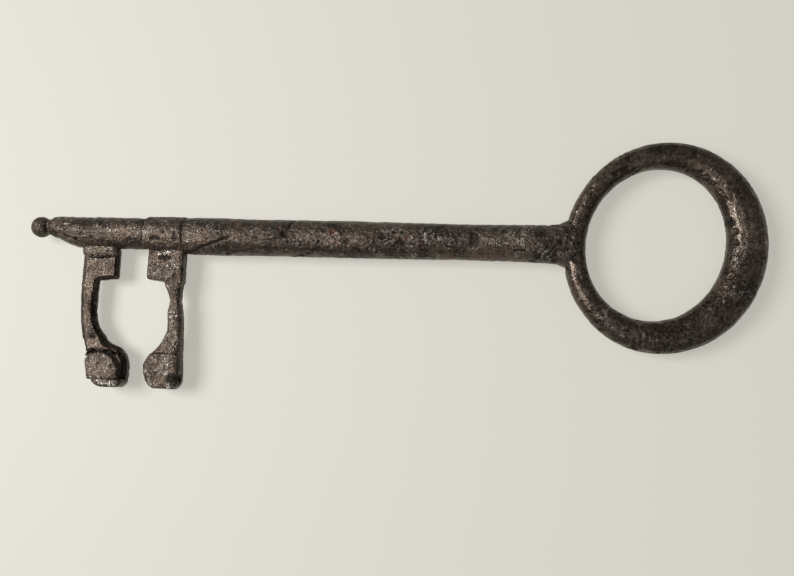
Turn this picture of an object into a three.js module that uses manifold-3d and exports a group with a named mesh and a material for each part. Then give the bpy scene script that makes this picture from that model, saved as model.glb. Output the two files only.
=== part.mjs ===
import * as THREE from 'three';
import { mergeVertices } from 'three/addons/utils/BufferGeometryUtils.js';
import Module from 'manifold-3d';

// A hand-forged iron door key, lying flat.
// Millimetres: +X runs along the shank to the bow, the bit hangs towards -Y, +Z is up.
// Stations along the shank are counted from the tip of the knob, heights from the shank's axis.

// Clearances
const fit = 0.3; // round a tenon or spigot, and between curved seats
const scarfGap = 0.1; // between the planed faces of the root lap

// Knob at the tip
const knobLength = 3.4;
const knobDiameter = 3.9;
const rivetDiameter = 1.3;
const rivetLength = 1.6;

// Pin in front of the bit, its top line straight and its nose cut back from below
const neckDiameter = 2.9;
const neckLength = 0.9;
const noseDiameter = 4.0;
const noseLength = 6.6;
const pinDiameter = 5.85;
const pinLength = 19.8;
const pinTopBelowShankTop = 0.25;
const spigotDiameter = 3.8;
const spigotLength = 12.0;

// Collar wrapped round the spigot
const collarDiameter = 7.0;
const collarLength = 7.8;
const collarEdge = 0.3;

// Shank
const shankDiameter = 6.9;
const shankLength = 72.5;
const shankWaistDiameter = 6.6;
const fishtailHeight = 10.2;
const fishtailDepth = 5.4;
const fishtailLength = 5.0;

// Bow, an oval ring whose bar swells away from the shank
const holeWidth = 25.5;
const holeHeight = 29.4;
const barAtShank = 3.8;
const barAtFarSide = 7.2;
const barAtTopAndBottom = 5.3;
const barDepthAtShank = 4.2;
const barDepthAtFarSide = 5.6;
const bowTilt = -0.2; // the oval leans, in radians

// Bit
const bitDrop = 29.2; // from the shank's axis to the ends of the feet
const blockWidth = 6.8;
const blockDrop = 9.2;
const frontBlockThickness = 2.2;
const rearBlockThickness = 2.5;
const blockEdge = 0.3;
const frontLegSetback = 7.6; // from the neck's front to the front leg
const rearLegSetback = 0.1; // from the collar's rear end to the rear leg
const frontArmWidth = 2.9;
const frontArmThickness = 2.9;
const rearArmWidth = 2.4;
const rearWaistWidth = 1.6;
const rearArmThickness = 2.6;
const legSweep = 2.2; // how far the front leg's outer edge drifts towards the bow
const footSeatDrop = 22.8;
const frontFootWidth = 7.7;
const frontFootThickness = 4.3;
const soleThickness = 1.3;
const soleSetback = 0.8;
const rearFootWidth = 6.9;
const rearFootThickness = 3.6;
const tenonThickness = 1.2;
const tenonDepth = 1.6;
const footTenonThickness = 1.5;
const footTenonDepth = 2.0;

// Root lap, the tongue scarfed on under the nose
const lapSlope = 0.344;
const lapStartAboveAxis = 0.26;

// Stations
const neckStart = knobLength;
const noseStart = neckStart + neckLength;
const noseEnd = noseStart + noseLength;
const collarStart = neckStart + pinLength;
const collarEnd = collarStart + collarLength;
const shankEnd = collarEnd + shankLength;
const frontLegStart = neckStart + frontLegSetback;
const rearLegEnd = collarEnd - rearLegSetback;
const rearLegStart = rearLegEnd - blockWidth;
const pinTop = shankDiameter / 2 - pinTopBelowShankTop;
const knobHeight = pinTop - noseDiameter / 2;

const ironColour = new THREE.Color(0.16, 0.14, 0.125);
const wasm = await Module();
wasm.setup();

// Closed meshes and solids

function signedVolume(geometry) {
  const corner = (i) => new THREE.Vector3().fromBufferAttribute(geometry.attributes.position, geometry.index.getX(i));
  let volume = 0;
  for (let i = 0; i < geometry.index.count; i += 3) {
    volume += corner(i).dot(corner(i + 1).cross(corner(i + 2))) / 6;
  }
  return volume;
}

function toSolid(geometry) {
  const bare = geometry.index ? geometry.toNonIndexed() : geometry.clone();
  bare.deleteAttribute('normal');
  bare.deleteAttribute('uv');
  const merged = mergeVertices(bare, 1e-4);
  const triVerts = new Uint32Array(merged.index.array);
  if (signedVolume(merged) < 0) triVerts.reverse();
  return new wasm.Manifold(new wasm.Mesh({
    numProp: 3,
    vertProperties: new Float32Array(merged.attributes.position.array),
    triVerts,
  }));
}

function toGeometry(solid) {
  const mesh = solid.getMesh();
  const geometry = new THREE.BufferGeometry();
  geometry.setAttribute('position', new THREE.BufferAttribute(new Float32Array(mesh.vertProperties), 3));
  geometry.setIndex(new THREE.BufferAttribute(new Uint32Array(mesh.triVerts), 1));
  geometry.computeVertexNormals();
  return geometry;
}

// One cross-section: an ellipse, or with a squareness above 2 a rounded rectangle
function section(centre, across, up, squareness, sides) {
  const points = [];
  for (let i = 0; i < sides; i += 1) {
    const angle = (2 * Math.PI * (i + 0.5)) / sides;
    const c = Math.cos(angle);
    const s = Math.sin(angle);
    const a = Math.sign(c) * Math.abs(c) ** (2 / squareness);
    const b = Math.sign(s) * Math.abs(s) ** (2 / squareness);
    points.push(centre.clone().addScaledVector(across, a).addScaledVector(up, b));
  }
  return points;
}

// A skin over cross-sections, capped at both ends unless it runs round a ring
function skin(sections, isRing = false) {
  const sides = sections[0].length;
  const positions = [];
  const indices = [];
  for (const points of sections) {
    for (const point of points) positions.push(point.x, point.y, point.z);
  }
  const spans = isRing ? sections.length : sections.length - 1;
  for (let i = 0; i < spans; i += 1) {
    const here = i * sides;
    const there = ((i + 1) % sections.length) * sides;
    for (let j = 0; j < sides; j += 1) {
      const k = (j + 1) % sides;
      indices.push(here + j, here + k, there + k, here + j, there + k, there + j);
    }
  }
  if (!isRing) {
    for (const end of [0, sections.length - 1]) {
      const middle = positions.length / 3;
      const centre = new THREE.Vector3();
      for (const point of sections[end]) centre.addScaledVector(point, 1 / sides);
      positions.push(centre.x, centre.y, centre.z);
      for (let j = 0; j < sides; j += 1) {
        const k = (j + 1) % sides;
        const a = end * sides + j;
        const b = end * sides + k;
        indices.push(middle, end === 0 ? b : a, end === 0 ? a : b);
      }
    }
  }
  const geometry = new THREE.BufferGeometry();
  geometry.setAttribute('position', new THREE.Float32BufferAttribute(positions, 3));
  geometry.setIndex(indices);
  return geometry;
}

// Rows of values by position, read in between by a smooth curve
function between(rows) {
  const places = rows.map((row) => row[0]);
  const values = rows.flatMap((row) => row.slice(1));
  const curve = new THREE.CubicInterpolant(places, values, rows[0].length - 1, []);
  return (place) => Array.from(curve.evaluate(place));
}

function steps(first, last, count) {
  return Array.from({ length: count + 1 }, (_, i) => first + ((last - first) * i) / count);
}

// A bar along X. Rows hold station, half height, half depth and centre height.
function barAlongX(rows, grow = 0, sides = 24, perStretch = 3) {
  const sections = [];
  rows.slice(0, -1).forEach((row, i) => {
    const read = between(rows);
    const last = i === rows.length - 2;
    for (const x of steps(row[0], rows[i + 1][0], perStretch).slice(0, last ? undefined : -1)) {
      const [halfHeight, halfDepth, height] = read(x);
      sections.push(section(
        new THREE.Vector3(x, height, 0),
        new THREE.Vector3(0, halfHeight + grow, 0),
        new THREE.Vector3(0, 0, halfDepth + grow),
        2,
        sides,
      ));
    }
  });
  return toSolid(skin(sections));
}

// A leg or foot hanging along -Y. Rows hold drop, near edge, far edge and half thickness.
function legAlongY(rows, squareness = 4, sides = 20, perStretch = 2) {
  const read = between(rows);
  const sections = [];
  rows.slice(0, -1).forEach((row, i) => {
    const last = i === rows.length - 2;
    for (const drop of steps(row[0], rows[i + 1][0], perStretch).slice(0, last ? undefined : -1)) {
      const [near, far, halfThickness] = read(drop);
      sections.push(section(
        new THREE.Vector3((near + far) / 2, -drop, 0),
        new THREE.Vector3((far - near) / 2, 0, 0),
        new THREE.Vector3(0, 0, halfThickness),
        squareness,
        sides,
      ));
    }
  });
  return toSolid(skin(sections));
}

function box(x0, x1, y0, y1, halfDepth) {
  const geometry = new THREE.BoxGeometry(x1 - x0, y1 - y0, 2 * halfDepth);
  geometry.translate((x0 + x1) / 2, (y0 + y1) / 2, 0);
  return toSolid(geometry);
}

function rod(x0, x1, diameter, height, sides = 20) {
  const geometry = new THREE.CylinderGeometry(diameter / 2, diameter / 2, x1 - x0, sides);
  geometry.rotateZ(-Math.PI / 2);
  geometry.translate((x0 + x1) / 2, height, 0);
  return toSolid(geometry);
}

// Pin and nose

const pinRows = [
  [neckStart, neckDiameter / 2, neckDiameter / 2, knobHeight],
  [noseStart - 0.15, neckDiameter / 2 + 0.05, neckDiameter / 2 + 0.05, knobHeight],
  [noseStart + 0.3, noseDiameter / 2 - 0.12, noseDiameter / 2 - 0.12, knobHeight],
  [noseStart + 1.0, noseDiameter / 2, noseDiameter / 2, knobHeight],
  ...steps(0.5, 1, 2).map((part) => {
    const radius = THREE.MathUtils.lerp(noseDiameter, pinDiameter, Math.sin((part * Math.PI) / 2)) / 2;
    return [THREE.MathUtils.lerp(noseStart + 1.0, noseEnd, part), radius, radius, pinTop - radius];
  }),
  [collarStart - 4, pinDiameter / 2, pinDiameter / 2, pinTop - pinDiameter / 2],
  [collarStart, pinDiameter / 2, pinDiameter / 2, pinTop - pinDiameter / 2],
];

function belowScarf(lift) {
  const outline = new THREE.Shape();
  const start = noseStart;
  const end = frontLegStart;
  const top = (x) => lapStartAboveAxis + lift - lapSlope * (x - noseStart - 0.8);
  outline.moveTo(start, top(start));
  outline.lineTo(end, top(end));
  outline.lineTo(end, -2 * pinDiameter);
  outline.lineTo(start, -2 * pinDiameter);
  outline.closePath();
  const geometry = new THREE.ExtrudeGeometry(outline, { depth: 2 * pinDiameter, bevelEnabled: false });
  geometry.translate(0, 0, -pinDiameter);
  return toSolid(geometry);
}

const frontTenonStart = frontLegStart + 1.0;
const frontTenonEnd = frontLegStart + blockWidth - 0.9;
const pinUnderside = pinTop - pinDiameter;
const tenonTop = pinUnderside + tenonDepth;

function makePin() {
  const spigot = rod(collarStart - 1, collarStart + spigotLength, spigotDiameter, 0);
  const rivetHole = rod(neckStart - 1, neckStart + rivetLength + fit, rivetDiameter + 2 * fit, knobHeight, 12);
  const mortise = box(
    frontTenonStart - fit,
    frontTenonEnd + fit,
    -2 * pinDiameter,
    tenonTop + fit,
    tenonThickness / 2 + fit,
  );
  return barAlongX(pinRows).add(spigot).subtract(rivetHole).subtract(mortise).subtract(belowScarf(0));
}

function makeRootLap() {
  return barAlongX(pinRows).intersect(belowScarf(-scarfGap));
}

// Knob, turned round its own axis with a rivet that enters the pin

function makeKnob() {
  const profile = [new THREE.Vector2(0, 0)];
  const seatAngle = 0.8 * Math.PI;
  for (const angle of steps(0, seatAngle, 9).slice(1)) {
    const along = (knobLength * (1 - Math.cos(angle))) / (1 - Math.cos(seatAngle));
    profile.push(new THREE.Vector2((knobDiameter / 2) * Math.sin(angle), along));
  }
  profile.push(new THREE.Vector2(rivetDiameter / 2, knobLength));
  profile.push(new THREE.Vector2(rivetDiameter / 2, knobLength + rivetLength));
  profile.push(new THREE.Vector2(0, knobLength + rivetLength));
  const geometry = new THREE.LatheGeometry(profile, 18);
  geometry.rotateZ(-Math.PI / 2);
  geometry.translate(0, knobHeight, 0);
  return toSolid(geometry);
}

// Collar, a strip rolled round the spigot whose ends grip the rear leg's root

function makeCollar() {
  const outer = collarDiameter / 2 - collarEdge;
  const inner = spigotDiameter / 2 + fit + collarEdge;
  const slot = rearBlockThickness / 2 + fit + collarEdge;
  const outerAngle = Math.asin(slot / outer);
  const innerAngle = Math.asin(slot / inner);
  const down = -Math.PI / 2;
  const outline = new THREE.Shape();
  outline.absarc(0, 0, outer, down + outerAngle, down - outerAngle + 2 * Math.PI, false);
  outline.absarc(0, 0, inner, down - innerAngle + 2 * Math.PI, down + innerAngle, true);
  outline.closePath();
  const geometry = new THREE.ExtrudeGeometry(outline, {
    depth: collarLength - 2 * collarEdge,
    bevelThickness: collarEdge,
    bevelSize: collarEdge,
    bevelSegments: 2,
    curveSegments: 24,
  });
  geometry.rotateY(Math.PI / 2);
  geometry.translate(collarStart + collarEdge, 0, 0);
  return toSolid(geometry);
}

// Bow

const limb = (side) => (side > 0 ? barAtFarSide : barAtShank);
const bowFront = shankEnd; // where the ring's outer edge meets the shank
const holeCentre = new THREE.Vector3(bowFront + limb(-1) + holeWidth / 2, 0.2, 0);
const outerWidth = holeWidth + limb(-1) + limb(1);
const outerHeight = holeHeight + 2 * barAtTopAndBottom;
const outerCentre = new THREE.Vector3(bowFront + outerWidth / 2, 0, 0);

function oval(centre, width, height, angle) {
  const turned = new THREE.Vector3(
    (width / 2) * Math.cos(angle - bowTilt),
    (height / 2) * Math.sin(angle - bowTilt),
    0,
  );
  return turned.applyAxisAngle(new THREE.Vector3(0, 0, 1), bowTilt).add(centre);
}

function makeBow(grow = 0) {
  const count = 72;
  const sections = [];
  for (let i = 0; i < count; i += 1) {
    const angle = (2 * Math.PI * i) / count;
    const inside = oval(holeCentre, holeWidth, holeHeight, angle);
    const outside = oval(outerCentre, outerWidth, outerHeight, angle);
    const across = outside.clone().sub(inside).multiplyScalar(0.5);
    across.setLength(across.length() + grow);
    const swell = (1 + Math.cos(angle)) / 2;
    const depth = THREE.MathUtils.lerp(barDepthAtShank, barDepthAtFarSide, swell) / 2 + grow;
    const centre = inside.clone().add(outside).multiplyScalar(0.5);
    sections.push(section(centre, across, new THREE.Vector3(0, 0, depth), 2.2, 16));
  }
  return toSolid(skin(sections, true));
}

// Shank, a round bar with a bored front end and a fishtail seated on the bow

function makeShank() {
  const radius = shankDiameter / 2;
  const waist = shankWaistDiameter / 2;
  const tail = shankEnd - fishtailLength;
  const bar = barAlongX([
    [collarEnd, radius - 0.12, radius - 0.12, 0],
    [collarEnd + 2, radius, radius, 0],
    [collarEnd + 0.23 * shankLength, radius - 0.08, radius - 0.08, 0],
    [collarEnd + 0.37 * shankLength, radius, radius, 0],
    [collarEnd + 0.67 * shankLength, waist, waist, 0],
    [tail, radius, radius, 0],
    [shankEnd - 1.2, radius + 0.35, radius - 0.3, 0],
    [shankEnd + 0.2, fishtailHeight / 2 - 0.6, fishtailDepth / 2 + 0.2, 0],
    [shankEnd + 1.4, fishtailHeight / 2, fishtailDepth / 2, 0],
  ]);
  const boreEnd = collarStart + spigotLength + fit;
  const bore = rod(collarEnd - 1, boreEnd, spigotDiameter + 2 * fit, 0);
  return bar.subtract(bore).subtract(makeBow(fit));
}

// Legs and feet

function makeBlock(start, top, thickness, notchSide) {
  const end = start + blockWidth;
  const tilt = 0.7; // the lower edge runs down towards the arm
  const outline = new THREE.Shape();
  outline.moveTo(start + blockEdge, -top);
  outline.lineTo(start + blockEdge, -(blockDrop - (notchSide > 0 ? 0 : tilt)) + blockEdge);
  outline.lineTo(end - blockEdge, -(blockDrop - (notchSide > 0 ? tilt : 0)) + blockEdge);
  outline.lineTo(end - blockEdge, -top);
  outline.closePath();
  const geometry = new THREE.ExtrudeGeometry(outline, {
    depth: thickness - 2 * blockEdge,
    bevelThickness: blockEdge,
    bevelSize: blockEdge,
    bevelSegments: 2,
  });
  geometry.translate(0, 0, -thickness / 2 + blockEdge);
  return toSolid(geometry);
}

const frontFootStart = frontLegStart + legSweep;
const frontFootEnd = frontFootStart + frontFootWidth;
const rearFootEnd = rearLegEnd + 0.6;
const rearFootStart = rearFootEnd - rearFootWidth;
const soleTop = bitDrop - soleThickness;
const armStart = blockDrop - 3;

function edges(drop, near, far, thickness) {
  return [drop, near, far, thickness / 2];
}

function makeFrontLeg() {
  const start = frontLegStart;
  const block = makeBlock(start, pinTop - pinDiameter > 0 ? 0 : 1.5, frontBlockThickness, 1);
  const arm = legAlongY([
    edges(armStart, start + 0.05, start + frontArmWidth + 0.5, frontBlockThickness),
    edges(blockDrop, start, start + frontArmWidth + 0.25, frontBlockThickness + 0.2),
    edges(0.57 * footSeatDrop, start + 0.05, start + frontArmWidth, frontArmThickness),
    edges(0.73 * footSeatDrop, start + 0.15 * legSweep, start + frontArmWidth + 0.3, frontArmThickness),
    edges(footSeatDrop - 4.0, start + 0.32 * legSweep, start + frontArmWidth + 1.3, frontArmThickness + 0.2),
    edges(footSeatDrop - 2.9, start + 0.42 * legSweep, start + frontArmWidth + 2.3, frontArmThickness + 0.5),
    edges(footSeatDrop - 1.8, start + 0.55 * legSweep, frontFootEnd - 3.8, frontFootThickness - 0.6),
    edges(footSeatDrop - 0.8, start + 0.68 * legSweep, frontFootEnd - 1.5, frontFootThickness - 0.3),
    edges(footSeatDrop, start + 0.8 * legSweep, frontFootEnd - 0.75, frontFootThickness - 0.1),
  ]);
  const rootTenon = box(frontTenonStart, frontTenonEnd, -blockDrop + 2, tenonTop, tenonThickness / 2);
  const footTenon = box(
    frontFootStart + 2,
    frontFootEnd - 2.5,
    -footSeatDrop - footTenonDepth,
    -footSeatDrop + 1,
    footTenonThickness / 2,
  );
  return block.add(arm).subtract(barAlongX(pinRows, fit)).add(rootTenon).add(footTenon);
}

function makeFrontFoot() {
  const foot = legAlongY([
    edges(footSeatDrop, frontLegStart + 0.8 * legSweep, frontFootEnd - 0.75, frontFootThickness),
    edges(footSeatDrop + 1.5, frontFootStart, frontFootEnd - 0.1, frontFootThickness),
    edges(soleTop - 1.2, frontFootStart + 0.4, frontFootEnd, frontFootThickness),
    edges(soleTop, frontFootStart + 0.7, frontFootEnd - 0.05, frontFootThickness - 0.2),
  ], 6);
  const mortise = box(
    frontFootStart + 2 - fit,
    frontFootEnd - 2.5 + fit,
    -footSeatDrop - footTenonDepth - fit,
    -footSeatDrop + 1,
    footTenonThickness / 2 + fit,
  );
  return foot.subtract(mortise);
}

function makeSole() {
  const near = frontFootStart + 0.7 + soleSetback;
  return legAlongY([
    edges(soleTop, near, frontFootEnd - 0.05, frontFootThickness - 0.3),
    edges(soleTop + 0.5 * soleThickness, near + 0.4, frontFootEnd - 0.3, frontFootThickness - 0.3),
    edges(bitDrop, near + 1.5, frontFootEnd - 0.9, frontFootThickness - 0.5),
  ], 6);
}

function makeRearLeg() {
  const start = rearLegStart;
  const end = rearLegEnd;
  const top = spigotDiameter / 2 + fit;
  const waistFar = end - 0.35;
  const waistDrop = blockDrop + 3.4;
  const seat = footSeatDrop;
  const block = makeBlock(start, top, rearBlockThickness, -1);
  const arm = legAlongY([
    edges(armStart, end - 3.6, end - 0.1, rearBlockThickness),
    edges(blockDrop, end - 3.4, end - 0.2, rearBlockThickness),
    edges(blockDrop + 1.2, end - 2.9, end - 0.25, rearBlockThickness),
    edges(waistDrop, waistFar - rearWaistWidth, waistFar, rearBlockThickness - 0.1),
    edges(waistDrop + 2.0, end + 0.05 - rearArmWidth, end + 0.05, rearArmThickness),
    edges(seat - 4.3, end + 0.4 - rearArmWidth - 0.2, end + 0.4, rearArmThickness + 0.2),
    edges(seat - 3.0, end + 0.45 - rearArmWidth - 0.8, end + 0.45, rearArmThickness + 0.4),
    edges(seat - 1.8, end + 0.5 - rearArmWidth - 1.4, end + 0.5, rearFootThickness - 0.4),
    edges(seat - 0.8, rearFootStart + 2.2, end + 0.5, rearFootThickness - 0.2),
    edges(seat, rearFootStart + 1.3, rearFootEnd - 0.1, rearFootThickness - 0.1),
  ]);
  const footTenon = box(
    rearFootStart + 2.5,
    rearFootEnd - 1.6,
    -seat - footTenonDepth,
    -seat + 1,
    footTenonThickness / 2,
  );
  return block.add(arm).add(footTenon);
}

function makeRearFoot() {
  const foot = legAlongY([
    edges(footSeatDrop, rearFootStart + 1.3, rearFootEnd - 0.1, rearFootThickness),
    edges(footSeatDrop + 1.4, rearFootStart + 0.2, rearFootEnd - 0.05, rearFootThickness),
    edges(footSeatDrop + 2.6, rearFootStart, rearFootEnd, rearFootThickness),
    edges(soleTop - 0.3, rearFootStart + 0.5, rearFootEnd + 0.05, rearFootThickness),
    edges(bitDrop - 0.5, rearFootStart + 1.2, rearFootEnd - 0.3, rearFootThickness - 0.2),
    edges(bitDrop, rearFootStart + 2.0, rearFootEnd - 0.9, rearFootThickness - 0.5),
  ], 5);
  const mortise = box(
    rearFootStart + 2.5 - fit,
    rearFootEnd - 1.6 + fit,
    -footSeatDrop - footTenonDepth - fit,
    -footSeatDrop + 1,
    footTenonThickness / 2 + fit,
  );
  return foot.subtract(mortise);
}

// Assembly, moved so that the origin is under the middle of the key

const key = new THREE.Group();

function place(name, solid, shade = 1) {
  const material = new THREE.MeshStandardMaterial({
    color: ironColour.clone().multiplyScalar(shade),
    roughness: 0.55,
    metalness: 0.8,
  });
  const mesh = new THREE.Mesh(toGeometry(solid), material);
  mesh.name = name;
  key.add(mesh);
}

place('tip_knob', makeKnob(), 1.1);
place('front_pin', makePin());
place('root_lap', makeRootLap(), 0.9);
place('bit_collar', makeCollar(), 1.05);
place('shank', makeShank());
place('bow_ring', makeBow(), 0.95);
place('front_leg', makeFrontLeg(), 1.1);
place('front_foot', makeFrontFoot(), 1.2);
place('front_foot_sole', makeSole(), 0.9);
place('rear_leg', makeRearLeg(), 1.1);
place('rear_foot', makeRearFoot(), 1.2);

const bounds = new THREE.Box3().setFromObject(key);
const middle = bounds.getCenter(new THREE.Vector3());
key.position.set(-middle.x, -middle.y, -bounds.min.z);

export default key;
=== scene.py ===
"""Looks of the forged iron key: its hammered, pitted skins and its dark iron finish."""
import math
from collections import namedtuple

import bmesh
import bpy
import numpy as np
from bpy.props import FloatProperty, FloatVectorProperty, PointerProperty
from mathutils import Matrix, Vector


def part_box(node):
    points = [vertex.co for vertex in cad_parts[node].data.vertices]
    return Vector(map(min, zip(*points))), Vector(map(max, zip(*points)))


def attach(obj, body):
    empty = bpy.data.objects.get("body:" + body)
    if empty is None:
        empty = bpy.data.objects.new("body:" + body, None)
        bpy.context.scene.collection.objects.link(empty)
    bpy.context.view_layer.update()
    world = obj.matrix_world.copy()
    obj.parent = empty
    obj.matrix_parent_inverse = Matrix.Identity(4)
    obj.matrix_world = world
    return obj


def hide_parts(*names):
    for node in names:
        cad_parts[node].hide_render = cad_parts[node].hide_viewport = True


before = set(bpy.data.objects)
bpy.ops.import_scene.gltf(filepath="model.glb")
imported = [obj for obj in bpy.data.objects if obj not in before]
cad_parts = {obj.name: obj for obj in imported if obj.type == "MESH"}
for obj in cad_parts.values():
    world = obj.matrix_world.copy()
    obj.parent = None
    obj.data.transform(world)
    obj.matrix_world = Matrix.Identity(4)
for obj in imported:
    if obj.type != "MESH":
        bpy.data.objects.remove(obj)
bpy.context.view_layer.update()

bl_info = {
    "name": "Forged iron key",
    "version": (1, 0, 0),
    "blender": (4, 5, 0),
    "location": "3D View > Sidebar > Key",
    "description": "Forges the pieces of an old iron door key and lights them on a pale floor",
    "category": "Add Mesh",
}

MM = 0.001
SHANK_RADIUS = (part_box("shank")[1][2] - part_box("shank")[0][2]) / 2
AXIS_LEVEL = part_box("shank")[0][2] + SHANK_RADIUS
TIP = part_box("tip_knob")[0][0]
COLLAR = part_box("bit_collar")
AXIS_ROW = COLLAR[1][1] - (COLLAR[1][2] - COLLAR[0][2]) / 2


# Settings

class KeyForging(bpy.types.PropertyGroup):
    """Depths of the marks that forging and rust left, in metres."""

    spacing: FloatProperty(
        name="Mesh spacing", description="Distance between points of the skin",
        default=0.2 * MM, min=0.1 * MM, unit="LENGTH")
    swell: FloatProperty(
        name="Skin growth", description="How far the skin closes the weld seams",
        default=0.13 * MM, unit="LENGTH")
    hammer: FloatProperty(
        name="Hammer marks", description="Depth of the broad hammer marks",
        default=0.10 * MM, unit="LENGTH")
    lumps: FloatProperty(
        name="Lumps", description="Depth of the small lumps",
        default=0.08 * MM, unit="LENGTH")
    pits: FloatProperty(
        name="Pits", description="Depth of the rust pits",
        default=0.20 * MM, unit="LENGTH")
    laps: FloatProperty(
        name="Laps", description="Depth of the lengthwise slag streaks",
        default=0.13 * MM, unit="LENGTH")
    scale: FloatProperty(
        name="Scale", description="Depth of the fine crust left by rust",
        default=0.09 * MM, unit="LENGTH")


class KeyFinish(bpy.types.PropertyGroup):
    """Colours of the iron, its painted glints and the painted shade at the foot of the boss."""

    # Dark iron is also the colour of the painted shade at the foot of the boss
    dark: FloatVectorProperty(
        name="Dark iron", description="Scale in the hollows",
        subtype="COLOR", size=3, default=(0.014, 0.009, 0.006))
    iron: FloatVectorProperty(
        name="Iron", description="Main colour of the patina",
        subtype="COLOR", size=3, default=(0.112, 0.082, 0.060))
    # Worn iron is also the colour of the painted glints, bright highlight specks on the iron
    worn_and_glints: FloatVectorProperty(
        name="Worn iron", description="Ridges rubbed by hands",
        subtype="COLOR", size=3, default=(0.62, 0.57, 0.52))
    rust: FloatVectorProperty(
        name="Rust", description="Patches of red rust",
        subtype="COLOR", size=3, default=(0.075, 0.021, 0.013))


class KeyStage(bpy.types.PropertyGroup):
    """Floor, lamps and camera."""

    floor: FloatVectorProperty(
        name="Floor", description="Colour of the pale floor",
        subtype="COLOR", size=3, default=(0.66, 0.64, 0.57))
    distance: FloatProperty(
        name="Camera distance", description="From the lens to the key's middle plane",
        default=149.6 * MM, unit="LENGTH")
    lens: FloatProperty(
        name="Lens", description="Focal length on a 36 mm wide sensor, in millimetres",
        default=36.0)
    yaw: FloatProperty(
        name="Yaw", description="How far the bow's end is turned to the camera",
        default=math.radians(4.0), unit="ROTATION")
    lean: FloatProperty(
        name="Lean", description="How far the camera stands below the key",
        default=math.radians(7.0), unit="ROTATION")
    roll: FloatProperty(
        name="Roll", description="How far the shank runs down to the right",
        default=math.radians(1.977), unit="ROTATION")
    aim: FloatVectorProperty(
        name="Aim", description="Where the camera looks, from the tip and from the axis",
        size=2, default=(71.98 * MM, -9.006 * MM), unit="LENGTH")
    window: FloatProperty(
        name="Window light", description="Power of the large soft lamp",
        default=3.0, unit="POWER")


# Noise over a surface, all lengths in millimetres. The large odd numbers scatter its cells.

CELL_HASH = (73856093, 19349663, 83492791)
SEED_HASH = 2654435761
MIX_HASH = 1274126177


def grain(points, size, seed):
    """Smooth noise from -1 to 1 whose bumps are about size apart."""
    places = points / size
    cells = np.floor(places).astype(np.int64)
    part = places - cells
    part = part * part * (3 - 2 * part)
    total = np.zeros(len(points))
    for corner in range(8):
        step = np.array([corner & 1, corner >> 1 & 1, corner >> 2 & 1])
        cell = cells + step
        key = np.bitwise_xor.reduce(cell * CELL_HASH, axis=1) ^ seed * SEED_HASH
        key = ((key ^ (key >> 13)) * MIX_HASH) & 0xFFFFFFFF
        value = ((key ^ (key >> 16)) & 0xFFFF) / 32767.5 - 1
        total += value * np.prod(np.where(step == 1, part, 1 - part), axis=1)
    return total


def rough(points, size, seed, octaves=3):
    """Noise with finer noise on it, from about -1 to 1."""
    total = sum(grain(points, size / 2 ** i, seed + i) / 2 ** i for i in range(octaves))
    return total / (2 - 2 ** (1 - octaves))


def ramp(values, low, high):
    """0 below low and 1 above high, smooth between them."""
    part = np.clip((values - low) / (high - low), 0, 1)
    return part * part * (3 - 2 * part)


def groove(points, path, width):
    """1 on the path and 0 a width away, for stations from the tip and heights from the axis."""
    flat = points[:, :2]
    nearest = np.full(len(points), np.inf)
    for start, end in zip(path[:-1], path[1:]):
        start, end = np.array(start), np.array(end)
        span = end - start
        along = np.clip((flat - start) @ span / (span @ span), 0, 1)
        away = np.linalg.norm(flat - start - along[:, None] * span, axis=1)
        nearest = np.minimum(nearest, away)
    return 1 - ramp(nearest, 0, width)


# Marks of forging and rust. A size is the distance between bumps in millimetres, and a range
# is the stretch of noise over which the mark grows from nothing to full.

HAMMER_SIZE = 7.0
LUMP_SIZE = 1.9
CRUST_SIZE = 0.75

PIT_SIZE = 1.1
PIT_RANGE = (0.22, 0.55)
PIT_FIELD_SIZE = 5.0
PIT_FIELD_RANGE = (-0.5, 0.5)

STREAK_SIZE = 0.9
STREAK_SQUEEZE = (0.2, 1.0, 1.0)
STREAK_WIDTH = 0.06
STREAK_FIELD_SIZE = 2.5
STREAK_FIELD_SQUEEZE = (0.3, 1.0, 1.0)
STREAK_FIELD_RANGE = (0.0, 0.6)

# Heights over which the streaks fade towards the bar's upper side, and what they lose there

UPPER_SIDE = (-0.5, 1.5)
UPPER_SIDE_LOSS = 0.7

# How much darker a scar gets with each millimetre of its depth

SCAR_DARKENING = 5

# Where the boss's edge falls off, how dark the painted shade at the foot of its raised edge gets
# and where that shade ends, counted outwards and inwards in half sizes from its middle

BOSS_EDGE = (0.92, 1.12)
BOSS_SHADE = 0.8
BOSS_SHADE_END = (-1.3, -1.05)

# Heights in millimetres over which a ridge turns bright, and how far the crust adds to them

PROUD_RANGE = (0.0, 0.14)
PROUD_CRUST = 0.5

# A scar is cut along a path of stations from the tip and heights from the axis. A boss is the
# raised pad on the front foot, and a bead is the weld at the root of a leg. All in millimetres.

Scar = namedtuple("Scar", "width depth path")
Boss = namedtuple("Boss", "middle half_size step")
Bead = namedtuple("Bead", "start end height half_height half_depth")


def pitting(places, seed):
    """1 in the rust pits, which lie in fields."""
    pits = ramp(rough(places, PIT_SIZE, seed + 20, 2), *PIT_RANGE)
    return pits * ramp(grain(places, PIT_FIELD_SIZE, seed + 30), *PIT_FIELD_RANGE)


def creasing(places, seed):
    """1 in the slag streaks drawn out along the bar, weaker on its upper side."""
    drawn = places * STREAK_SQUEEZE
    crease = np.exp(-(rough(drawn, STREAK_SIZE, seed + 40, 2) / STREAK_WIDTH) ** 2)
    fields = grain(places * STREAK_FIELD_SQUEEZE, STREAK_FIELD_SIZE, seed + 50)
    crease *= ramp(fields, *STREAK_FIELD_RANGE)
    crease *= 1 - UPPER_SIDE_LOSS * ramp(places[:, 1], *UPPER_SIDE)
    return crease


# Skins

def cad_blank(node):
    """The mesh of a CAD node, in millimetres."""
    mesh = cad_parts[node].data.copy()
    mesh.transform(Matrix.Scale(1 / MM, 4))
    return mesh


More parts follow.
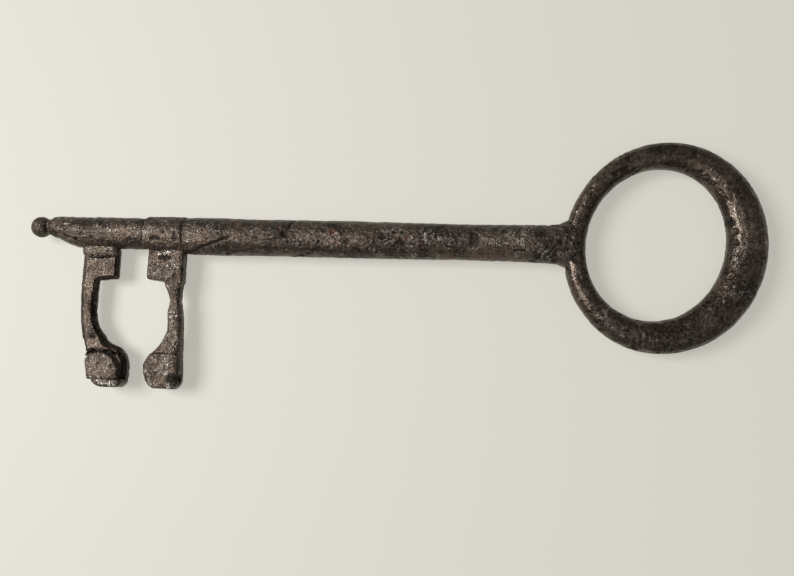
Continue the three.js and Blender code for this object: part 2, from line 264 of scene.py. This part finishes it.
def bead_blank(bead):
    """A soft bar along the shank from station to station, at a height from the axis."""
    shape = bmesh.new()
    bmesh.ops.create_uvsphere(shape, u_segments=32, v_segments=24, radius=1.0)
    for point in shape.verts:
        along = math.copysign(abs(point.co.x) ** 0.5, point.co.x)
        point.co = (
            TIP / MM + (bead.start + bead.end) / 2 + along * (bead.end - bead.start) / 2,
            AXIS_ROW / MM + bead.height + point.co.y * bead.half_height,
            AXIS_LEVEL / MM + point.co.z * bead.half_depth,
        )
    mesh = bpy.data.meshes.new("bead_blank")
    shape.to_mesh(mesh)
    shape.free()
    return mesh


def smooth_copy(mesh, spacing, rounds):
    """The same shape with an even mesh and worn edges."""
    solid = bpy.data.objects.new("blank", mesh)
    bpy.context.scene.collection.objects.link(solid)
    remesh = solid.modifiers.new("Even mesh", "REMESH")
    remesh.mode = "VOXEL"
    remesh.voxel_size = spacing / MM
    smooth = solid.modifiers.new("Worn edges", "SMOOTH")
    smooth.factor = 0.5
    smooth.iterations = rounds
    evaluated = solid.evaluated_get(bpy.context.evaluated_depsgraph_get())
    skin = bpy.data.meshes.new_from_object(evaluated)
    bpy.data.objects.remove(solid)
    bpy.data.meshes.remove(mesh)
    return skin


def rows(items, name):
    """A value of three numbers from each item of a mesh, as rows."""
    values = np.empty(len(items) * 3)
    items.foreach_get(name, values)
    return values.reshape(-1, 3)


def from_tip(points):
    """Rows in millimetres as stations from the tip, heights from the shank's axis and depths."""
    return points - np.array([TIP, AXIS_ROW, AXIS_LEVEL]) / MM


def forge(name, node, material, rounds, seed, streaked=False, scars=(), calm=1.0,
          boss=None, bead=None, lean=0.0, drift=(0, 0, 0)):
    """Replaces a CAD node with its forged skin, or forges a bead where there is no node.

    More rounds wear the edges further, and a calm below 1 makes the hammer marks and the crust
    shallower. The lean and the drift turn and move the skin. Every kind of mark has its own seed,
    and pieces that share one run on into each other.
    """
    forging = bpy.context.scene.key_forging
    blank = bead_blank(bead) if bead else cad_blank(node)
    skin = smooth_copy(blank, forging.spacing, rounds)
    skin.name = name
    points = rows(skin.vertices, "co")
    normals = rows(skin.vertex_normals, "vector")
    if lean:
        turn = np.array(Matrix.Rotation(lean, 3, "Z"))
        centre = points.mean(axis=0)
        points, normals = (points - centre) @ turn.T + centre + drift, normals @ turn.T
    places = from_tip(points)
    front = places[:, 2] > 0
    depth = forging.hammer / MM * calm * rough(places, HAMMER_SIZE, seed)
    depth += forging.lumps / MM * rough(places, LUMP_SIZE, seed + 10)
    crust = rough(places, CRUST_SIZE, seed + 15, 2)
    depth += forging.scale / MM * crust * calm
    hollow_and_shade = pitting(places, seed)
    depth -= forging.pits / MM * hollow_and_shade
    if streaked:
        crease = creasing(places, seed)
        depth -= forging.laps / MM * crease
        hollow_and_shade = np.maximum(hollow_and_shade, crease)
    for scar in scars:
        mark = groove(places, scar.path, scar.width) * front
        depth -= scar.depth * mark
        hollow_and_shade = np.maximum(hollow_and_shade, mark * np.clip(scar.depth * SCAR_DARKENING, 0, 1))
    if boss:
        across = (places[:, :2] - boss.middle) / boss.half_size
        reach = np.hypot(across[:, 0], across[:, 1])
        outside = ramp(reach, *BOSS_EDGE) * front
        depth -= boss.step * outside
        # Painted shade: the foot just outside the boss's raised edge is darkened with the dark
        # colour
        hollow_and_shade = np.maximum(hollow_and_shade, BOSS_SHADE * outside * ramp(-reach, *BOSS_SHADE_END))
    proud = ramp(depth + PROUD_CRUST * forging.scale / MM * crust, *PROUD_RANGE)
    points += normals * (depth + forging.swell / MM)[:, None]
    skin.vertices.foreach_set("co", (points * MM).ravel())
    for label, values in (("hollow_and_shade", hollow_and_shade), ("proud", proud)):
        layer = skin.attributes.new(label, "FLOAT", "POINT")
        layer.data.foreach_set("value", values.astype(np.float32))
    skin.shade_smooth()
    skin.update()
    piece = bpy.data.objects.new(name, skin)
    bpy.context.scene.collection.objects.link(piece)
    piece.data.materials.clear()
    piece.data.materials.append(material)
    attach(piece, "root")
    if node:
        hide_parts(node)
    return piece


# Finishes

class Value:
    """A number that varies over a surface, joined by ordinary arithmetic."""

    def __init__(self, finish, socket):
        self.finish = finish
        self.socket = socket

    def math(self, operation, first, second):
        return self.finish.value("ShaderNodeMath", {"operation": operation}, {0: first, 1: second})

    def __add__(self, other):
        return self.math("ADD", self, other)

    __radd__ = __add__

    def __sub__(self, other):
        return self.math("SUBTRACT", self, other)

    def __rsub__(self, other):
        return self.math("SUBTRACT", other, self)

    def __mul__(self, other):
        return self.math("MULTIPLY", self, other)

    __rmul__ = __mul__

    def ramp(self, low, high):
        """0 below low and 1 above high, smooth between them."""
        return self.finish.value(
            "ShaderNodeMapRange", {"interpolation_type": "SMOOTHSTEP"},
            {"Value": self, "From Min": low, "From Max": high}, "Result")


class Finish:
    """A material under construction."""

    def __init__(self, name):
        self.material = bpy.data.materials.new(name)
        self.material.use_nodes = True
        self.tree = self.material.node_tree
        self.tree.nodes.clear()

    def node(self, kind, settings=None, inputs=None):
        """A node with its settings, and a number or a link in each socket that is named."""
        node = self.tree.nodes.new(kind)
        for key, value in (settings or {}).items():
            setattr(node, key, value)
        for key, value in (inputs or {}).items():
            if isinstance(value, Value):
                value = value.socket
            if isinstance(value, bpy.types.NodeSocket):
                self.tree.links.new(value, node.inputs[key])
            else:
                node.inputs[key].default_value = value
        return node

    def value(self, kind, settings=None, inputs=None, output=0):
        """One output of a new node, ready for arithmetic."""
        return Value(self, self.node(kind, settings, inputs).outputs[output])

    def noise(self, places, size, detail=4.0, roughness=0.55):
        """Noise whose patches are about size metres wide."""
        return self.value(
            "ShaderNodeTexNoise", {"noise_dimensions": "3D"},
            {"Vector": places, "Scale": 1 / size, "Detail": detail, "Roughness": roughness}, "Fac")

    def attribute(self, name):
        """A value that the skin holds at each of its points."""
        return self.value("ShaderNodeAttribute", {"attribute_name": name}, {}, "Fac")

    def mix(self, factor, first, second):
        """A colour between two colours, each a colour or a link."""
        first, second = (
            colour if isinstance(colour, bpy.types.NodeSocket) else (*colour, 1)
            for colour in (first, second))
        node = self.node("ShaderNodeMix", {"data_type": "RGBA"}, {0: factor, 6: first, 7: second})
        return node.outputs[2]


# Iron: sizes of its patches, and the part of their noise over which each one shows

PATCH_SIZE = 5.0 * MM
PATCH_RANGE = (0.35, 0.65)
SPECK_SIZE = 0.55 * MM
SPECK_RANGE = (0.36, 0.64)
FINE_SIZE = 0.3 * MM
RUBBED_RANGE = (0.42, 0.62)
# Glints are painted highlights: bright specks mixed into the colour where light would glance
GLINT_RANGE = (0.55, 0.63)
GLINT_FIELD_SIZE = 2.2 * MM
GLINT_FIELD_RANGE = (0.42, 0.6)
RUST_SIZE = 1.9 * MM
RUST_RANGE = (0.70, 0.76)
RUST_SPREAD = 0.05

# Iron: shares of the colours and of the roughness

RUBBED_SHARE = 0.45
GLINT_SHARE = 0.9
HOLLOW_AND_SHADE_SHARE = 0.9
FLAT_GLINTS = 0.25
PLAIN_ROUGHNESS = 0.52
SHINE_SMOOTHING = 0.24
SPECK_ROUGHENING = 0.3
HOLLOW_ROUGHENING = 0.25
GLINT_SMOOTHING = 0.22
METALNESS = 0.8
SPECK_HEIGHT = 0.55


def iron_finish(name, shine, wear_and_glints, rust=0.5, crust=0.36):
    """Dark forged iron, black in its pits, brown on its skin, bright where it is rubbed, with
    painted glints (bright highlight specks in the colour) and painted shade at the foot of the
    boss.

    The shine, the wear with the glints, and the rust go from 0 to 1. The crust is the depth of the
    finest bumps, in millimetres.
    """
    colours = bpy.context.scene.key_finish
    finish = Finish(name)
    places = finish.node("ShaderNodeTexCoord").outputs["Object"]
    hollow_and_shade = finish.attribute("hollow_and_shade")
    proud = finish.attribute("proud")
    patches = finish.noise(places, PATCH_SIZE).ramp(*PATCH_RANGE)
    specks = finish.noise(places, SPECK_SIZE, detail=3.0, roughness=0.65)
    fine = finish.noise(places, FINE_SIZE, detail=2.0, roughness=0.6)
    rubbed = proud * specks.ramp(*RUBBED_RANGE) * wear_and_glints
    # Painted highlights: glints of the worn colour, strongest on the ridges
    glints = fine.ramp(*GLINT_RANGE) * (proud * (1 - FLAT_GLINTS) + FLAT_GLINTS)
    glints *= finish.noise(places, GLINT_FIELD_SIZE, detail=1.0).ramp(*GLINT_FIELD_RANGE)
    rusty = finish.noise(places, RUST_SIZE, detail=2.0)
    rusty = rusty.ramp(*(end - RUST_SPREAD * rust for end in RUST_RANGE))
    mottle = patches * 0.5 + specks.ramp(*SPECK_RANGE) * 0.5
    colour = finish.mix(mottle, colours.dark, colours.iron)
    colour = finish.mix(rubbed * RUBBED_SHARE, colour, colours.worn_and_glints)
    # The painted glints are mixed into the colour here
    colour = finish.mix(glints * (GLINT_SHARE * wear_and_glints), colour, colours.worn_and_glints)
    colour = finish.mix(rusty * rust, colour, colours.rust)
    # Dark scale in the pits, streaks and scars, and painted shade at the foot of the boss
    colour = finish.mix(hollow_and_shade * HOLLOW_AND_SHADE_SHARE, colour, colours.dark)
    roughness = PLAIN_ROUGHNESS - shine * SHINE_SMOOTHING + (specks - 0.5) * SPECK_ROUGHENING
    roughness = roughness + hollow_and_shade * HOLLOW_ROUGHENING - glints * GLINT_SMOOTHING
    height = specks * SPECK_HEIGHT + fine * (1 - SPECK_HEIGHT)
    bump = finish.node(
        "ShaderNodeBump", {}, {"Height": height, "Strength": 1.0, "Distance": crust * MM})
    shader = finish.node("ShaderNodeBsdfPrincipled", {}, {
        "Base Color": colour, "Metallic": METALNESS, "Roughness": roughness,
        "Normal": bump.outputs["Normal"]})
    finish.node("ShaderNodeOutputMaterial", {}, {"Surface": shader.outputs[0]})
    return finish.material


# Pieces

class KEY_OT_pin(bpy.types.Operator):
    """Knob, pin and root lap in front of the bit"""
    bl_idname = "key.pin"
    bl_label = "Forge the pin"

    def execute(self, context):
        iron = iron_finish("pin_iron", shine=0.7, wear_and_glints=0.9)
        forge("knob_skin", "tip_knob", iron, rounds=4, seed=11)
        forge("pin_skin", "front_pin", iron, rounds=4, seed=12)
        forge("root_lap_skin", "root_lap", iron, rounds=3, seed=13)
        return {"FINISHED"}


class KEY_OT_collar(bpy.types.Operator):
    """Band wrapped round the pin's rear end"""
    bl_idname = "key.collar"
    bl_label = "Wrap the collar"

    def execute(self, context):
        iron = iron_finish("collar_iron", shine=0.45, wear_and_glints=0.6)
        forge("collar_skin", "bit_collar", iron, rounds=4, seed=21)
        return {"FINISHED"}


class KEY_OT_shank(bpy.types.Operator):
    """Round bar with its slag streaks and laps"""
    bl_idname = "key.shank"
    bl_label = "Draw out the shank"

    def execute(self, context):
        iron = iron_finish("shank_iron", shine=0.7, wear_and_glints=0.7, rust=0.8)
        lap = Scar(0.42, 0.26, (
            (31.5, -3.2), (32.8, -3.1), (34.7, -2.5), (37.3, -1.7), (40.0, -0.6)))
        fold = Scar(0.7, 0.22, ((52.2, 3.2), (51.3, 1.4), (50.6, 0.4)))
        pit = Scar(0.8, 0.3, ((50.4, 0.6), (50.9, 0.1)))
        crack = Scar(0.4, 0.2, ((93.7, -1.8), (95.5, -1.8)))
        tear = Scar(0.4, 0.12, ((51.0, 0.2), (51.7, -2.0)))
        seam = Scar(0.35, 0.12, ((40.0, -3.0), (46.1, -2.3), (53.7, -2.5), (61.3, -2.5)))
        raised_welt = Scar(0.6, -0.12, ((60.4, 0.8), (61.2, -0.3), (60.8, -2.6)))
        nick = Scar(0.35, 0.1, ((68.8, -2.3), (72.2, -3.2)))
        dent = Scar(0.8, 0.25, ((102.0, -0.1), (102.0, 0.0)))
        forge("shank_skin", "shank", iron, rounds=3, seed=31, streaked=True,
              scars=(lap, fold, pit, crack, tear, seam, raised_welt, nick, dent))
        return {"FINISHED"}


class KEY_OT_bow(bpy.types.Operator):
    """Oval ring whose bar swells away from the shank"""
    bl_idname = "key.bow"
    bl_label = "Bend the bow"

    def execute(self, context):
        iron = iron_finish("bow_iron", shine=0.9, wear_and_glints=0.55, rust=0.4, crust=0.16)
        fold = Scar(0.6, 0.2, ((111.7, 13.1), (114.3, 14.5)))
        upper_dent = Scar(0.7, 0.25, ((132.9, 4.5), (133.1, 4.3)))
        middle_dent = Scar(0.7, 0.25, ((133.6, 2.9), (133.7, 2.7)))
        lower_dent = Scar(0.7, 0.25, ((133.7, 0.8), (133.8, 0.6)))
        forge("bow_skin", "bow_ring", iron, rounds=3, seed=31,
              scars=(fold, upper_dent, middle_dent, lower_dent),
              calm=0.6, lean=-0.165, drift=(-0.3, -0.25, 0))
        return {"FINISHED"}


class KEY_OT_front_leg(bpy.types.Operator):
    """Front half of the bit, with its foot and sole"""
    bl_idname = "key.front_leg"
    bl_label = "Forge the front leg"

    def execute(self, context):
        iron = iron_finish("front_bit_iron", shine=0.7, wear_and_glints=1.0, rust=0.6)
        weld = Bead(start=10.7, end=17.9, height=-3.2, half_height=1.6, half_depth=1.2)
        boss = Boss(middle=(16.2, -27.2), half_size=(3.9, 4.4), step=0.75)
        forge("front_weld", None, iron, rounds=1, seed=51, bead=weld)
        forge("front_leg_skin", "front_leg", iron, rounds=4, seed=51, boss=boss)
        forge("front_foot_skin", "front_foot", iron, rounds=3, seed=51, boss=boss)
        forge("front_sole_skin", "front_foot_sole", iron, rounds=3, seed=53)
        return {"FINISHED"}


class KEY_OT_rear_leg(bpy.types.Operator):
    """Rear half of the bit, with its foot"""
    bl_idname = "key.rear_leg"
    bl_label = "Forge the rear leg"

    def execute(self, context):
        iron = iron_finish("rear_bit_iron", shine=0.65, wear_and_glints=0.9, rust=0.5)
        weld = Bead(start=23.9, end=31.1, height=-3.7, half_height=1.5, half_depth=1.35)
        dent = Scar(1.1, 0.5, ((30.2, -27.5), (32.3, -27.4)))
        forge("rear_weld", None, iron, rounds=1, seed=61, bead=weld)
        forge("rear_leg_skin", "rear_leg", iron, rounds=3, seed=61)
        forge("rear_foot_skin", "rear_foot", iron, rounds=3, seed=61, scars=(dent,))
        return {"FINISHED"}


# Stage: the lamps aim at the key's middle, and lengths are in metres

FLOOR_HALF = 1.5
FLOOR_ROUGHNESS = 0.6
FLOOR_GLOW = 0.65
WINDOW_SIZE = 0.22
WINDOW_PLACE = Vector((-0.30, 0.02, 0.36))
ROOM_SIZE = 0.5
ROOM_PLACE = Vector((0.12, -0.25, 0.6))
ROOM_SHARE = 0.18
SKY_COLOUR = (0.95, 0.97, 1.0)
SKY_STRENGTH = 0.18
SENSOR_WIDTH = 36.0
NEAREST_SEEN = 0.01


class KEY_OT_stage(bpy.types.Operator):
    """Pale floor, soft lamps and the camera"""
    bl_idname = "key.stage"
    bl_label = "Set the stage"

    def execute(self, context):
        settings = context.scene.key_stage
        make_floor(settings)
        make_lamp("window", settings.window, WINDOW_SIZE, WINDOW_PLACE)
        make_lamp("room", settings.window * ROOM_SHARE, ROOM_SIZE, ROOM_PLACE)
        make_world()
        make_camera(settings)
        return {"FINISHED"}


def make_floor(settings):
    """A pale sheet that takes the key's shadow and shows pale to the camera and in gloss."""
    corners = [(x * FLOOR_HALF, y * FLOOR_HALF, 0) for x, y in ((-1, -1), (1, -1), (1, 1), (-1, 1))]
    mesh = bpy.data.meshes.new("floor")
    mesh.from_pydata(corners, [], [(0, 1, 2, 3)])
    floor = bpy.data.objects.new("floor", mesh)
    bpy.context.scene.collection.objects.link(floor)
    finish = Finish("floor_white")
    colour = (*settings.floor, 1)
    shader = finish.node(
        "ShaderNodeBsdfPrincipled", {}, {"Base Color": colour, "Roughness": FLOOR_ROUGHNESS})
    glow = finish.node("ShaderNodeEmission", {}, {"Color": colour, "Strength": 1.0})
    rays = finish.node("ShaderNodeLightPath").outputs
    seen = Value(finish, rays["Is Camera Ray"]) + Value(finish, rays["Is Glossy Ray"])
    pale = finish.node(
        "ShaderNodeMixShader", {}, {0: seen * FLOOR_GLOW, 1: shader.outputs[0], 2: glow.outputs[0]})
    finish.node("ShaderNodeOutputMaterial", {}, {"Surface": pale.outputs[0]})
    mesh.materials.append(finish.material)


def make_lamp(name, power, size, place):
    """A square soft lamp."""
    data = bpy.data.lights.new(name, "AREA")
    data.energy = power
    data.size = size
    lamp = bpy.data.objects.new(name, data)
    lamp.location = place
    lamp.rotation_euler = (-place).to_track_quat("-Z", "Y").to_euler()
    bpy.context.scene.collection.objects.link(lamp)


def make_world():
    """A weak, even sky."""
    world = bpy.data.worlds.new("studio")
    world.use_nodes = True
    background = world.node_tree.nodes["Background"]
    background.inputs["Color"].default_value = (*SKY_COLOUR, 1)
    background.inputs["Strength"].default_value = SKY_STRENGTH
    bpy.context.scene.world = world


def make_camera(settings):
    """A camera that looks down at the key, square to it but for its yaw, lean and roll."""
    data = bpy.data.cameras.new("camera")
    data.sensor_width = SENSOR_WIDTH
    data.lens = settings.lens
    data.clip_start = NEAREST_SEEN
    camera = bpy.data.objects.new("camera", data)
    turn = (
        Matrix.Rotation(settings.yaw, 3, "Y")
        @ Matrix.Rotation(settings.lean, 3, "X")
        @ Matrix.Rotation(settings.roll, 3, "Z")
    )
    aim = Vector((TIP + settings.aim[0], AXIS_ROW + settings.aim[1], AXIS_LEVEL))
    place = aim + turn @ Vector((0, 0, settings.distance))
    camera.matrix_world = Matrix.Translation(place) @ turn.to_4x4()
    bpy.context.scene.collection.objects.link(camera)
    bpy.context.scene.camera = camera
    bpy.context.scene.view_settings.view_transform = "Standard"


class KEY_PT_panel(bpy.types.Panel):
    """Steps that make the key"""
    bl_label = "Forged key"
    bl_idname = "KEY_PT_panel"
    bl_space_type = "VIEW_3D"
    bl_region_type = "UI"
    bl_category = "Key"

    def draw(self, context):
        column = self.layout.column()
        for name, group in SETTINGS:
            for setting in group.__annotations__:
                column.prop(getattr(context.scene, name), setting)
        for step in STEPS:
            column.operator(step.bl_idname)


STEPS = (
    KEY_OT_pin, KEY_OT_collar, KEY_OT_shank, KEY_OT_bow, KEY_OT_front_leg, KEY_OT_rear_leg,
    KEY_OT_stage,
)
SETTINGS = (("key_forging", KeyForging), ("key_finish", KeyFinish), ("key_stage", KeyStage))


def register():
    for name, group in SETTINGS:
        bpy.utils.register_class(group)
        setattr(bpy.types.Scene, name, PointerProperty(type=group))
    for item in (*STEPS, KEY_PT_panel):
        bpy.utils.register_class(item)


def unregister():
    for item in (KEY_PT_panel, *reversed(STEPS)):
        bpy.utils.unregister_class(item)
    for name, group in reversed(SETTINGS):
        delattr(bpy.types.Scene, name)
        bpy.utils.unregister_class(group)


def main():
    register()
    bpy.ops.key.pin()
    bpy.ops.key.collar()
    bpy.ops.key.shank()
    bpy.ops.key.bow()
    bpy.ops.key.front_leg()
    bpy.ops.key.rear_leg()
    bpy.ops.key.stage()


if __name__ == "__main__":
    main()
